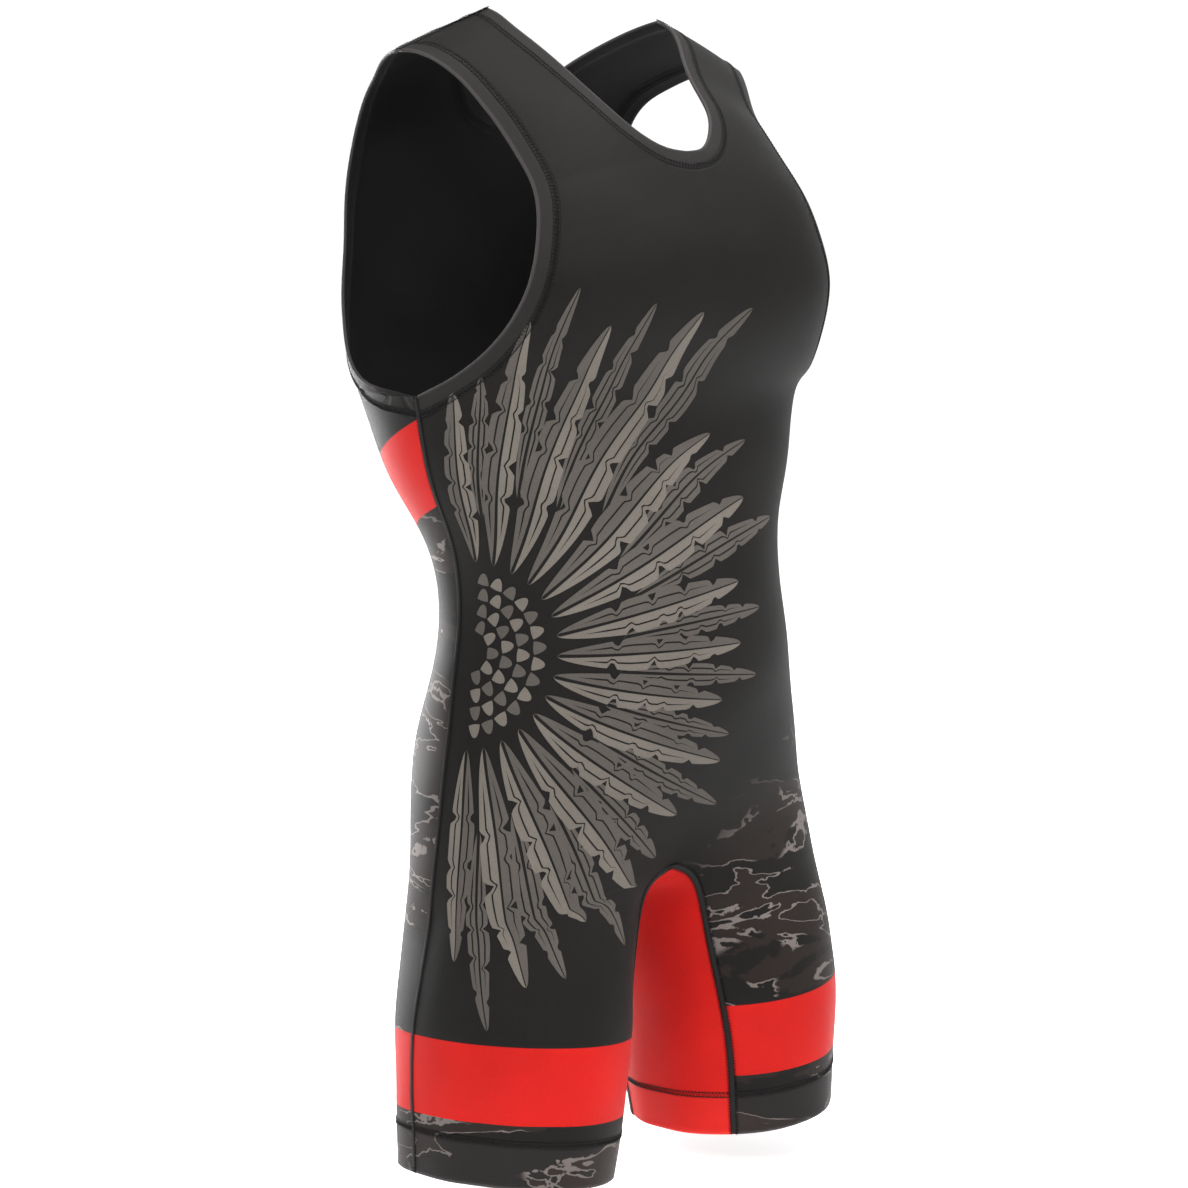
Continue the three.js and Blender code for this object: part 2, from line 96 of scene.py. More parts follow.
BACK_LEVELS = [
    ("crest", 81, 19, 0, 0, 0.33, 160, 20, -32, 0, 0.33, 0.975, 0),
    ("ridge", 80.5, 30, -2, 0, 0.33, 158, 31, -33, 6, 0.33, 0.955, 0),
    ("shoulder", 75, 44, -7, 0, 0.34, 158, 45, -38, 18, 0.34, 0.87, 0),
    ("strap top", 61, 62, -18, 0, 0.38, 158, 56, -48, 38, 0.4, 0.795, 0),
    ("strap", 44, 80, -33, 0, 0.46, 160, 58, -63, 60, 0.5, 0.69, 0),
    ("neck turn", 22, 95, -56, 0, 0.56, 164, 46, -86, 76, 0.58, 0.592, 0),
    ("neck", 0, 101, -66, 0, 0.6, 169, 30, -110, 85, 0.6, 0.547, 0),
    ("upper back", 0, 112, -110, 0, 0.56, 175, 8, -142, 92, 0.59, 0.535, 0),
    ("blade", 0, 118, -160, 0, 0.52, 179, -6, -187, 96, 0.55, 0.552, 0),
    ("under blade", 0, 118, -205, 0, 0.49, 180, -12, -224, 98, 0.51, 0.65, 0),
    ("arm turn", 0, 116, -236, 0, 0.46, 178, -14, -248, 98, 0.49, 0.79, 0),
    ("armhole", 0, 113, -254, 0, 0.44, 175, -14, -256, 98, 0.49, 1, 0),
    ("rib", 0, 101, -300, 0, 0.43, 162, -13, -308, 94, 0.46, 1, 0),
    ("high waist", 0, 84, -345, 0, 0.4, 144, -12, -350, 92, 0.4, 1, 0),
    ("waist", 0, 65, -400, 0, 0.37, 134, -10, -400, 90, 0.37, 1, 0),
    ("low waist", 0, 71, -450, 0, 0.38, 142, -12, -452, 90, 0.38, 1, 0),
    ("hip", 0, 88, -500, 0, 0.39, 153, -15, -506, 90, 0.4, 1, 0),
    ("low hip", 0, 84, -546, 0, 0.32, 160, -15, -556, 88, 0.4, 1, 0),
    ("crotch", 0, 58, -590, 0, 0.2, 164, -13, -600, 84, 0.54, 1, 0),
    ("arch", 20, 51, -600, 15, 0.3, 166, -13, -611, 83, 0.53, 1, 0),
    ("thigh top", 29, 43, -618, 34, 0.4, 169, -12, -628, 82, 0.51, 1, -1),
    ("thigh", 36, 35, -652, 48, 0.48, 173, -10, -655, 81, 0.5, 1, -2),
    ("band top", 48, 29, -698, 56, 0.51, 176, -8, -681, 80, 0.5, 1, -4),
    ("band low", 55, 27, -750, 56, 0.51, 176, -8, -734, 80, 0.5, 1, -4),
    ("hem", 64, 26, -795, 56, 0.51, 176, -8, -776, 80, 0.51, 1, -4),
]

# Gusset rows: turn of the row at the front seam, its fullness and its sag
GUSSET_LEVELS = [
    ("crotch", 90, 0.33, 16),
    ("arch", 78, 0.34, 13),
    ("thigh top", 68, 0.35, 8),
    ("thigh", 62, 0.36, 3),
    ("band top", 56, 0.36, 0),
    ("band low", 56, 0.36, 0),
    ("hem", 56, 0.36, 0),
]

INNER_LINE = ("crest", "neck", "crotch", "hem")
SIDE_LINE = ("crest", "hem")
ARMHOLE_LINE = ("crest", "armhole", "hem")
ROW_SHAPE = ("crest", "crotch", "hem")


def spline(at, values, x):
    """Natural cubic spline through the points, at every x."""
    n = len(at)
    h = np.diff(at)
    left = np.zeros((n, n))
    right = np.zeros(n)
    left[0, 0] = left[-1, -1] = 1
    for i in range(1, n - 1):
        left[i, i - 1] = h[i - 1]
        left[i, i] = 2 * (h[i - 1] + h[i])
        left[i, i + 1] = h[i]
        right[i] = 6 * ((values[i + 1] - values[i]) / h[i] - (values[i] - values[i - 1]) / h[i - 1])
    m = np.linalg.solve(left, right)
    k = np.clip(np.searchsorted(at, x) - 1, 0, n - 2)
    a = (at[k + 1] - x) / h[k]
    b = (x - at[k]) / h[k]
    curve = ((a**3 - a) * m[k] + (b**3 - b) * m[k + 1]) * h[k] ** 2 / 6
    return a * values[k] + b * values[k + 1] + curve


def smooth(x, low, high):
    """Smooth rise from 0 at low to 1 at high."""
    t = np.clip((np.asarray(x, float) - low) / (high - low), 0, 1)
    return t * t * (3 - 2 * t)


def unit(v):
    return v / np.maximum(np.linalg.norm(v, axis=-1, keepdims=True), 1e-12)


class Panel:
    """Half of the front or back: rows from the middle to the side, level by level."""

    def __init__(self, levels, facing):
        self.facing = facing
        self.names = [row[0] for row in levels]
        numbers = np.array([row[1:] for row in levels], float)
        self.table = {name: numbers[:, i] for i, name in enumerate(LEVEL_COLUMNS[1:])}
        self.table["away"] = (1 - self.table["cut"]) ** 2
        run_in = np.linalg.norm(np.diff(numbers[:, 0:3], axis=0), axis=1)
        run_side = np.linalg.norm(np.diff(numbers[:, 5:8], axis=0), axis=1)
        self.down = np.concatenate([[0], np.cumsum((run_in + run_side) / 2)])

    def at(self, level):
        return self.down[self.names.index(level)]

    def column(self, name, down, corners):
        out = np.zeros_like(down)
        marks = [self.names.index(corner) for corner in corners]
        for first, last in zip(marks[:-1], marks[1:]):
            low = self.down[first]
            high = self.down[last]
            inside = (down >= low - 1e-9) & ((down < high - 1e-9) | (last == marks[-1]))
            part = slice(first, last + 1)
            out[inside] = spline(self.down[part], self.table[name][part], down[inside])
        return out

    def full_row(self, down, t):
        """Points on the uncut rows, at share t of the way to the side."""
        inner = [self.column(name, down, INNER_LINE) for name in ("inX", "inY", "inZ")]
        side = [self.column(name, down, SIDE_LINE) for name in ("sideX", "sideY", "sideZ")]
        in_turn = np.radians(self.column("inTurn", down, ROW_SHAPE))
        in_full = self.column("inFull", down, ROW_SHAPE)
        side_turn = np.radians(self.column("sideTurn", down, SIDE_LINE))
        side_full = self.column("sideFull", down, ROW_SHAPE)
        rise = self.column("rise", down, SIDE_LINE)
        chord = np.hypot(side[0] - inner[0], side[1] - inner[1])
        leaving = np.stack([np.cos(in_turn), self.facing * np.sin(in_turn)], -1)
        arriving = np.stack([np.cos(side_turn), -self.facing * np.sin(side_turn)], -1)
        a = np.stack(inner[:2], -1)
        d = np.stack(side[:2], -1)
        b = a + leaving * (in_full * chord)[:, None]
        c = d - arriving * (side_full * chord)[:, None]
        s = t[:, None]
        flat = (1 - s) ** 3 * a + 3 * s * (1 - s) ** 2 * b + 3 * s * s * (1 - s) * c + s**3 * d
        ease = np.minimum(1, down / self.at("neck"))
        fall = t + ease * (t * t * (3 - 2 * t) - t)
        z = inner[2] + (side[2] - inner[2]) * fall + rise * 4 * t * (1 - t)
        return np.concatenate([flat, z[:, None]], -1)

    def grid(self, rows, across, cut=True):
        down, t = np.meshgrid(rows, across, indexing="ij")
        down = down.ravel()
        t = t.ravel()
        if cut:
            t = t * (1 - np.sqrt(np.maximum(0, self.column("away", down, ARMHOLE_LINE))))
        return self.full_row(down, t).reshape(len(rows), len(across), 3)


def row_marks(panel, other):
    """Distances down the panel of its mesh rows, and the row at each level."""
    marks = [0.0]
    kinds = {}
    shared = panel.names.index("armhole")
    for i, name in enumerate(panel.names[1:], 1):
        run = panel.down[i] - panel.down[i - 1]
        if i > shared:
            k = other.names.index(name)
            run = max(run, other.down[k] - other.down[k - 1])
        count = max(2, round(run / ROW_STEP))
        marks += list(np.linspace(panel.down[i - 1], panel.down[i], count + 1)[1:])
        kinds[name] = len(marks) - 1
    return np.array(marks), kinds


def spread(count, crowd):
    """Shares from 0 to 1, closer together towards both ends."""
    s = np.linspace(0, 1, count + 1)
    return (1 - crowd) * s + crowd * (1 - np.cos(np.pi * s)) / 2


def normals_of(grid):
    """Unit normals of a grid of points."""
    along = np.gradient(grid, axis=0)
    across = np.gradient(grid, axis=1)
    return unit(np.cross(across, along))


def relief(points):
    """How far the cloth stands off its filled form, in millimetres."""
    x, y, z = points[..., 0], points[..., 1], points[..., 2]
    slack = 0.35 * np.sin(0.045 * z + 0.03 * x + 0.7) * np.sin(0.031 * x - 0.024 * y)
    slack += 0.25 * np.sin(0.083 * z - 0.05 * x + 0.04 * y + 1.9)
    legs = smooth(-z, 640, 790)
    slack += legs * 0.45 * np.sin(0.09 * x + 0.12 * y + 0.02 * z)
    return slack


def ease_rows(grid, below, free, passes):
    """Evens out the cloth down the panel near a level, less towards a fixed edge."""
    close = 1 - smooth(np.abs(below), EASE_REACH / 3, EASE_REACH)
    weight = close[:, None] * free[None, :]
    share = ((below[1:-1] - below[:-2]) / (below[2:] - below[:-2]))[:, None, None]
    for _ in range(passes):
        even = grid[:-2] + (grid[2:] - grid[:-2]) * share
        grid[1:-1] += (even - grid[1:-1]) * weight[1:-1, :, None] / 2


def shape_panel(panel, other):
    """Grid of a half panel, evened out near the neck and the crotch."""
    rows, marks = row_marks(panel, other)
    across = spread(COLUMNS, COLUMN_CROWD)
    grid = panel.grid(rows, across)
    free = smooth(across, 0, 0.3)
    ease_rows(grid, rows - panel.at("neck"), free, NECK_PASSES)
    free = free * (1 - smooth(across, 0.8, 1))
    ease_rows(grid, rows - panel.at("crotch"), free, CROTCH_PASSES)
    return {"panel": panel, "rows": rows, "marks": marks, "grid": grid}


front_rows = Panel(FRONT_LEVELS, -1)
back_rows = Panel(BACK_LEVELS, 1)
front = shape_panel(front_rows, back_rows)
back = shape_panel(back_rows, front_rows)


def shape_gusset():
    """Grid of half the gusset, between the panels' inner edges."""
    panel = front["panel"]
    first = front["marks"]["crotch"]
    levels = [row[0] for row in GUSSET_LEVELS]
    at = np.array([panel.at(level) for level in levels])
    numbers = np.array([row[1:] for row in GUSSET_LEVELS], float)
    down = front["rows"][first:]
    turn, full, sag = (spline(at, numbers[:, i], down) for i in range(3))
    start = front["grid"][first:, 0]
    end = back["grid"][back["marks"]["crotch"]:, 0]
    width = np.linalg.norm(end - start, axis=1)
    reach = full * width
    sideways = np.cos(np.radians(turn)) * reach
    along = np.sin(np.radians(turn)) * reach
    grid = np.zeros((len(down), GUSSET_COLUMNS + 1, 3))
    for j, share in enumerate(np.linspace(0, 1, GUSSET_COLUMNS + 1)):
        t = share * (1 - 2 * HALF_GAP / width) + HALF_GAP / width
        s = 1 - t
        ends = s**3 + 3 * s * s * t
        grid[:, j, 0] = start[:, 0] * ends + end[:, 0] * (1 - ends) - sideways * 3 * s * t
        grid[:, j, 1] = start[:, 1] * ends + end[:, 1] * (1 - ends) + along * 3 * s * t * (s - t)
        grid[:, j, 2] = start[:, 2] * s + end[:, 2] * t - sag * 4 * s * t
    return grid


gusset_grid = shape_gusset()

# Front and back meet along the shoulder crest and the side seam
front_side = front["marks"]["armhole"]
back_side = back["marks"]["armhole"]
meet = (front["grid"][front_side:, -1] + back["grid"][back_side:, -1]) / 2
front["grid"][front_side:, -1] = meet
back["grid"][back_side:, -1] = meet


def outward(grid, centre):
    """Normals of a grid, turned so that they point away from the hollow."""
    normal = normals_of(grid)
    test = np.sum((grid - centre) * normal, axis=-1)
    return normal if np.median(test) > 0 else -normal


BODY_CENTRE = np.array([60, 0, -400.0])
LEG_CENTRE = np.array([110, -20, -700.0])
front["normal"] = outward(front["grid"], BODY_CENTRE)
back["normal"] = outward(back["grid"], BODY_CENTRE)
gusset_normal = outward(gusset_grid, LEG_CENTRE)
for part in (front, back):
    first = part["marks"]["neck"]
    last = part["marks"]["crotch"]
    part["normal"][first:last + 1, 0, 0] = 0
    part["normal"] = unit(part["normal"])
both = unit(front["normal"][0] + back["normal"][0])
front["normal"][0] = both
back["normal"][0] = both
both = unit(front["normal"][front_side:, -1] + back["normal"][back_side:, -1])
front["normal"][front_side:, -1] = both
back["normal"][back_side:, -1] = both
gusset_normal[0, :, 0] = 0
gusset_normal = unit(gusset_normal)
shaped = ((front["grid"], front["normal"]), (back["grid"], back["normal"]), (gusset_grid, gusset_normal))
for grid, normal in shaped:
    grid += normal * relief(grid)[..., None]


# Meshes
def make_mesh(name, points, faces, material_index=None):
    mesh = bpy.data.meshes.new(name)
    mesh.from_pydata([tuple(p) for p in np.asarray(points) * MM], [], [tuple(f) for f in faces])
    if material_index is not None:
        mesh.polygons.foreach_set("material_index", np.asarray(material_index, np.int32))
    mesh.polygons.foreach_set("use_smooth", np.ones(len(mesh.polygons), bool))
    mesh.update()
    thing = bpy.data.objects.new(name, mesh)
    bpy.context.scene.collection.objects.link(thing)
    return thing


def paint_uv(thing, title, marks):
    """Writes a UV layer from marks in millimetres, one for every vertex."""
    layer = thing.data.uv_layers.new(name=title)
    loops = np.zeros(len(thing.data.loops), np.int32)
    thing.data.loops.foreach_get("vertex_index", loops)
    layer.data.foreach_set("uv", marks[loops].ravel() * MM)


def gap_to(points, edges):
    """Distance of every point from the nearest edge point."""
    flat = points.reshape(-1, 3)
    best = np.full(len(flat), 1e9)
    for chunk in np.array_split(edges, max(1, len(edges) // 200)):
        gap = np.linalg.norm(flat[:, None, :] - chunk[None, :, :], axis=-1).min(1)
        best = np.minimum(best, gap)
    return best.reshape(points.shape[:-1])


def border(count_rows, count_columns, open_from, open_to):
    """Grid places round a half panel, from the middle seam's top end to its low end."""
    places = [(i, 0) for i in range(open_from, -1, -1)]
    places += [(0, j) for j in range(1, count_columns)]
    places += [(i, count_columns - 1) for i in range(1, count_rows)]
    places += [(count_rows - 1, j) for j in range(count_columns - 2, -1, -1)]
    places += [(i, 0) for i in range(count_rows - 2, open_to - 1, -1)]
    return places


def cloth(name, halves):
    """Closed shell of the grids: outer face, inner face and the rim between them."""
    points, faces, slots, uvs = [], [], [], []
    for half in halves:
        grid, normal, wall = half["grid"], half["normal"], half["wall"]
        n, m = grid.shape[:2]
        inner = grid - normal * wall[..., None]
        base = len(points)
        points += list(grid.reshape(-1, 3)) + list(inner.reshape(-1, 3))
        uv = half["uv"].reshape(-1, 2)
        edge = half["edge"].reshape(-1, 2)
        uvs += list(np.concatenate([uv, edge], 1)) * 2
        i, j = np.meshgrid(np.arange(n - 1), np.arange(m - 1), indexing="ij")
        a = (i * m + j).ravel() + base
        quads = np.stack([a, a + 1, a + m + 1, a + m], -1)
        if half["flip"]:
            quads = quads[:, ::-1]
        shift = n * m
        faces += [tuple(q) for q in quads] + [tuple(q[::-1] + shift) for q in quads]
        slots += [0] * len(quads) + [1] * len(quads)
        places = half["border"]
        ring = []
        for k, (r, c) in enumerate(places):
            out = base + r * m + c
            deep = out + shift
            back_in = half["inward"][k]
            mid = (points[out] + points[deep]) / 2 - back_in * half["round"][k] * wall[r, c] / 2
            points.append(mid)
            uvs.append(uvs[out])
            ring.append((out, len(points) - 1, deep))
        for p, q in zip(ring[:-1], ring[1:]):
            for u, v in ((0, 1), (1, 2)):
                face = (p[u], q[u], q[v], p[v])
                if half["flip"]:
                    face = face[::-1]
                faces.append(face)
                slots.append(0)
    thing = make_mesh(name, points, faces, slots)
    paint_uv(thing, "cloth", np.array(uvs)[:, :2])
    paint_uv(thing, "hem", np.array(uvs)[:, 2:])
    weld(thing)
    return thing


def weld(thing):
    """Joins the shells of the halves where they meet."""
    work = bmesh.new()
    work.from_mesh(thing.data)
    bmesh.ops.remove_doubles(work, verts=work.verts, dist=2e-6)
    bmesh.ops.recalc_face_normals(work, faces=work.faces)
    work.to_mesh(thing.data)
    work.free()


def mirrored(points):
    return points * np.array([-1.0, 1.0, 1.0])


def along_row(grid):
    """Distance along each row from its first point."""
    steps = np.linalg.norm(np.diff(grid, axis=1), axis=2)
    return np.concatenate([np.zeros((len(grid), 1)), np.cumsum(steps, axis=1)], axis=1)


# Edges that are turned and stitched, and edges that are seams
neck_edge = np.concatenate([part["grid"][:part["marks"]["neck"] + 1, 0] for part in (front, back)])
arm_edge = np.concatenate([part["grid"][:part["marks"]["armhole"] + 1, -1] for part in (front, back)])
leg_edge = np.concatenate([front["grid"][-1], gusset_grid[-1], back["grid"][-1]])


def near(points, edge):
    """Distance of every point from a line, which may have jumps in it."""
    fine = []
    for a, b in zip(edge[:-1], edge[1:]):
        gap = np.linalg.norm(b - a)
        if gap < EDGE_JUMP:
            count = max(1, int(gap / 1.5))
            fine += [a + (b - a) * k / count for k in range(count)]
    return gap_to(points, np.array(fine))


def wall_of(points):
    """Thickness at every point, and its distances from any hem and from the leg hem."""
    neck = np.minimum(near(points, neck_edge), near(points, arm_edge))
    leg = near(points, leg_edge)
    turned = 1 - smooth(neck, NECK_HEM, NECK_HEM + HEM_FADE)
    turned = np.maximum(turned, 1 - smooth(leg, LEG_HEM, LEG_HEM + HEM_FADE))
    return WALL + (HEM_WALL - WALL) * turned, np.stack([np.minimum(neck, leg), leg], -1)


def inward_at(grid, places):
    """Direction at each border place that points back into the cloth."""
    n, m = grid.shape[:2]
    out = []
    for r, c in places:
        step = np.zeros(3)
        if c == 0:
            step += unit(grid[r, 1] - grid[r, 0])
        if c == m - 1:
            step += unit(grid[r, m - 2] - grid[r, m - 1])
        if r == 0:
            step += unit(grid[1, c] - grid[0, c])
        if r == n - 1:
            step += unit(grid[n - 2, c] - grid[n - 1, c])
        out.append(unit(step))
    return out


def finish_panel(name, part):
    """Cloth of the front or back: the half and its mirror image, joined in the middle."""
    grid = part["grid"]
    n, m = grid.shape[:2]
    rows = part["rows"]
    neck = part["marks"]["neck"]
    crotch = part["marks"]["crotch"]
    arm = part["marks"]["armhole"]
    wall, edge = wall_of(grid)
    places = border(n, m, neck, crotch)
    rounded = []
    for r, c in places:
        hem = (c == 0 and r <= neck) or (c == m - 1 and r <= arm) or r == n - 1
        rounded.append(1.0 if hem and r > 0 else 0.0)
    halves = []
    for sign in (1, -1):
        placed = grid if sign > 0 else mirrored(grid)
        normal = part["normal"] if sign > 0 else mirrored(part["normal"])
        width = along_row(grid)
        uv = np.stack([sign * width, -np.repeat(rows[:, None], m, 1)], -1)
        halves.append({
            "grid": placed,
            "normal": normal,
            "wall": wall,
            "uv": uv,
            "edge": edge,
            "flip": (sign > 0) == (part["panel"].facing > 0),
            "border": places,
            "inward": inward_at(placed, places),
            "round": rounded,
        })
    return cloth(name, halves)


front_cloth = finish_panel("front_cloth", front)
back_cloth = finish_panel("back_cloth", back)


def finish_gusset():
    n, m = gusset_grid.shape[:2]
    wall, edge = wall_of(gusset_grid)
    places = [(i, 0) for i in range(n)] + [(n - 1, j) for j in range(1, m)]
    places += [(i, m - 1) for i in range(n - 2, -1, -1)]
    rounded = [1.0 if r == n - 1 else 0.0 for r, c in places]
    halves = []
    for sign in (1, -1):
        placed = gusset_grid if sign > 0 else mirrored(gusset_grid)
        normal = gusset_normal if sign > 0 else mirrored(gusset_normal)
        width = along_row(gusset_grid)
        down = np.repeat(np.arange(n)[:, None] * ROW_STEP, m, 1)
        halves.append({
            "grid": placed,
            "normal": normal,
            "wall": wall,
            "uv": np.stack([width, sign * down], -1),
            "edge": edge,
            "flip": sign > 0,
            "border": places,
            "inward": inward_at(placed, places),
            "round": rounded,
        })
    return cloth("gusset_cloth", halves)


gusset_cloth = finish_gusset()


# Threads and seams, laid on the outer faces
SEAM = {"width": 5.2, "height": 0.45}
GUSSET_SEAM = {"width": 7.2, "height": 0.5}
SEAM_THREAD = {"pitch": 2.4, "length": 1.9, "radius": 0.26}
HEM_THREAD = {"pitch": 2.6, "length": 2.1, "radius": 0.36}
HEM_ROW = 1.6


def outer_tree():
    points, faces = [], []
    for grid in (front["grid"], back["grid"], gusset_grid):
        for placed in (grid, mirrored(grid)):
            n, m = grid.shape[:2]
            base = len(points)
            points += [Vector(p) for p in placed.reshape(-1, 3)]
            for i in range(n - 1):
                for j in range(m - 1):
                    a = base + i * m + j
                    faces.append((a, a + 1, a + m + 1, a + m))
    return BVHTree.FromPolygons(points, faces)


surface = outer_tree()


def drop(point):
    """Nearest point on the cloth and the direction out of it there."""
    place, normal, _, _ = surface.find_nearest(Vector(point))
    place, normal = np.array(place), np.array(normal)
    if np.dot(normal, place - body_middle(place)) < 0:
        normal = -normal
    return place, normal


def body_middle(place):
    """A point inside the hollow, level with the place."""
    if place[2] < LEG_TOP:
        return np.array([math.copysign(108, place[0]), -25, place[2]])
    if place[2] > STRAP_FOOT:
        return np.array([math.copysign(110, place[0]), 20, min(place[2], -90.0) - 40])
    return np.array([place[0] * 0.3, 0.0, place[2]])


def resample(line, step):
    """Points along a line, a step apart."""
    line = np.asarray(line, float)
    run = np.concatenate([[0], np.cumsum(np.linalg.norm(np.diff(line, axis=0), axis=1))])
    keep = np.concatenate([[True], np.diff(run) > 1e-6])
    run, line = run[keep], line[keep]
    count = max(2, int(round(run[-1] / step)))
    at = np.linspace(0, run[-1], count + 1)
    return np.stack([np.interp(at, run, line[:, k]) for k in range(3)], -1)


def lay(line, offset, step):
    """Line laid on the cloth, moved in from an edge by the offset."""
    line = resample(line, step)
    along = unit(np.gradient(line, axis=0))
    spots, ups = [], []
    for p, t in zip(line, along):
        place, up = drop(p)
        if offset:
            side = unit(np.cross(up, t))
            one = drop(place + side * offset)
            two = drop(place - side * offset)
            gap_one = np.linalg.norm(one[0] - place - side * offset)
            gap_two = np.linalg.norm(two[0] - place + side * offset)
            place, up = one if gap_one < gap_two else two
        spots.append(place)
        ups.append(up)
    spots = np.array(spots)
    ups = np.array(ups)
    for _ in range(3):
        spots[1:-1] = (spots[:-2] + 2 * spots[1:-1] + spots[2:]) / 4
        ups[1:-1] = unit(ups[:-2] + 2 * ups[1:-1] + ups[2:])
    spots = resample(spots, step)
    ups = np.array([drop(p)[1] for p in spots])
    for _ in range(4):
        ups[1:-1] = unit(ups[:-2] + 2 * ups[1:-1] + ups[2:])
    return spots, ups


def sweep(path, ups, profile):
    """Points and faces of a closed profile swept along a path."""
    path = np.asarray(path)
    along = unit(np.gradient(path, axis=0))
    sides = unit(np.cross(ups, along))
    ups = unit(np.cross(along, sides))
    n, m = len(path), len(profile)
    points = path[:, None] + sides[:, None] * profile[None, :, :1] + ups[:, None] * profile[None, :, 1:]
    points = points.reshape(-1, 3)
    faces = []
    for i in range(n - 1):
        for j in range(m):
            a = i * m + j
            b = i * m + (j + 1) % m
            faces.append((a, b, b + m, a + m))
    faces.append(tuple(range(m))[::-1])
    faces.append(tuple((n - 1) * m + j for j in range(m)))
    return points, faces


def ring(radius, sides):
    turn = np.linspace(0, 2 * np.pi, sides, endpoint=False)
    return np.stack([np.cos(turn), np.sin(turn)], -1) * radius


class Pile:
    """Collects many small meshes into one."""

    def __init__(self):
        self.points, self.faces, self.marks = [], [], []
        self.count = 0

    def add(self, points, faces, marks=None):
        self.points.append(points)
        self.marks.append(np.zeros((len(points), 2)) if marks is None else marks)
        self.faces += [tuple(v + self.count for v in face) for face in faces]
        self.count += len(points)

    def thing(self, name):
        made = make_mesh(name, np.concatenate(self.points), self.faces)
        paint_uv(made, "cloth", np.concatenate(self.marks))
        paint_uv(made, "hem", np.concatenate(self.marks) * 0 + 100)
        return made


def zigzag(pile, spots, ups, half_width, pitch, radius, height):
    """Cover thread that crosses the line from side to side."""
    spots, ups = resample_with(spots, ups, pitch / 2)
    along = unit(np.gradient(spots, axis=0))
    sides = unit(np.cross(ups, along))
    swing = np.where(np.arange(len(spots)) % 2 == 0, 1.0, -1.0)[:, None]
    line = spots + sides * swing * half_width + ups * height
    pile.add(*sweep(line, ups, ring(radius, 4)))


def resample_with(spots, ups, step):
    """Points a step apart along laid spots, with their directions out."""
    run = np.concatenate([[0], np.cumsum(np.linalg.norm(np.diff(spots, axis=0), axis=1))])
    count = max(2, int(round(run[-1] / step)))
    at = np.linspace(0, run[-1], count + 1)
    spots = np.stack([np.interp(at, run, spots[:, k]) for k in range(3)], -1)
    ups = unit(np.stack([np.interp(at, run, ups[:, k]) for k in range(3)], -1))
    return spots, ups


def stitches(pile, spots, ups, shift, pitch, length, radius):
    """Row of separate needle stitches beside the line."""
    spots, ups = resample_with(spots, ups, pitch)
    along = unit(np.gradient(spots, axis=0))
    sides = unit(np.cross(ups, along))
    shape = ring(radius, 5)
    for p, up, t, s in zip(spots, ups, along, sides):
        start = p + s * shift - t * length / 2
        steps = np.array([0, 0.3, 0.7, 1.0])
        lift = np.array([-0.25, 0.55, 0.55, -0.25]) * radius * 1.6
        line = start + t * steps[:, None] * length + up * lift[:, None]
        pile.add(*sweep(line, np.repeat(up[None], 4, 0), shape))


def flat_seam(name, line, width, height):
    """Flat seam: a low ridge of covering threads with a needle row at each side."""
    spots, ups = lay(line, 0, 2.0)
    half = width / 2
    core = half * 0.55
    shape = [(-1, -0.5), (-0.92, 0.6), (-0.5, 1), (0, 0.75), (0.5, 1), (0.92, 0.6), (1, -0.5)]
    profile = np.array(shape) * np.array([core, height])
    ridge = Pile()
    ridge.add(*sweep(spots, ups, profile))
    zigzag(ridge, spots, ups, half, 2.2, 0.3, height * 0.6)
    stitches(ridge, spots, ups, core, **SEAM_THREAD)
    stitches(ridge, spots, ups, -core, **SEAM_THREAD)
    return ridge.thing(name)


def cover_stitch(name, line, offset):
    """Hem stitching: two needle rows and the thread that zigzags between them."""
    spots, ups = lay(line, offset, 1.5)
    pile = Pile()
    zigzag(pile, spots, ups, 2.0, HEM_THREAD["pitch"], HEM_THREAD["radius"], 0.16)
    stitches(pile, spots, ups, HEM_ROW, **HEM_THREAD)
    stitches(pile, spots, ups, -HEM_ROW, **HEM_THREAD)
    return pile.thing(name)


def part_line(part, name, column):
    return part["grid"][:part["marks"][name] + 1, column]


arm_line = np.concatenate([part_line(front, "armhole", -1)[::-1], part_line(back, "armhole", -1)[1:]])
neck_half = np.concatenate([part_line(front, "neck", 0)[::-1], part_line(back, "neck", 0)[1:]])
neck_line = np.concatenate([neck_half[::-1], mirrored(neck_half)[1:]])
leg_line = np.concatenate([front["grid"][-1], back["grid"][-1][::-1][1:], gusset_grid[-1][::-1][1:]])
leg_line = np.concatenate([leg_line, leg_line[1:4]])
side_line = front["grid"][front_side:, -1]
crest_line = front["grid"][0, 1:-1]
inner_front = front["grid"][front["marks"]["crotch"]:, 0]
inner_back = back["grid"][back["marks"]["crotch"]:, 0]
gusset_front = np.concatenate([inner_front[::-1], mirrored(inner_front)[1:]])
gusset_back = np.concatenate([inner_back[::-1], mirrored(inner_back)[1:]])

threads = [cover_stitch("neck_stitching", neck_line, NECK_HEM)]
for side, place in (("left", lambda p: p), ("right", mirrored)):
    threads.append(cover_stitch(side + "_armhole_stitching", place(arm_line), NECK_HEM))
    threads.append(cover_stitch(side + "_hem_stitching", place(leg_line), LEG_HEM))
seams = []
for side, place in (("left", lambda p: p), ("right", mirrored)):
    seams.append(flat_seam(side + "_side_seam", place(side_line), **SEAM))
    seams.append(flat_seam(side + "_shoulder_seam", place(crest_line), **SEAM))
seams.append(flat_seam("gusset_front_seam", gusset_front, **GUSSET_SEAM))
seams.append(flat_seam("gusset_back_seam", gusset_back, **GUSSET_SEAM))


# Printed feathers on the wearer's right front
PRINT_RISE = 0.16
PRINT_ROOT = (14.0, 470.0)
QUILL_START = 62
FEATHER_COUNT = 15
SCALLOP_RINGS = (14, 25, 36, 47)
SCALLOP = 8

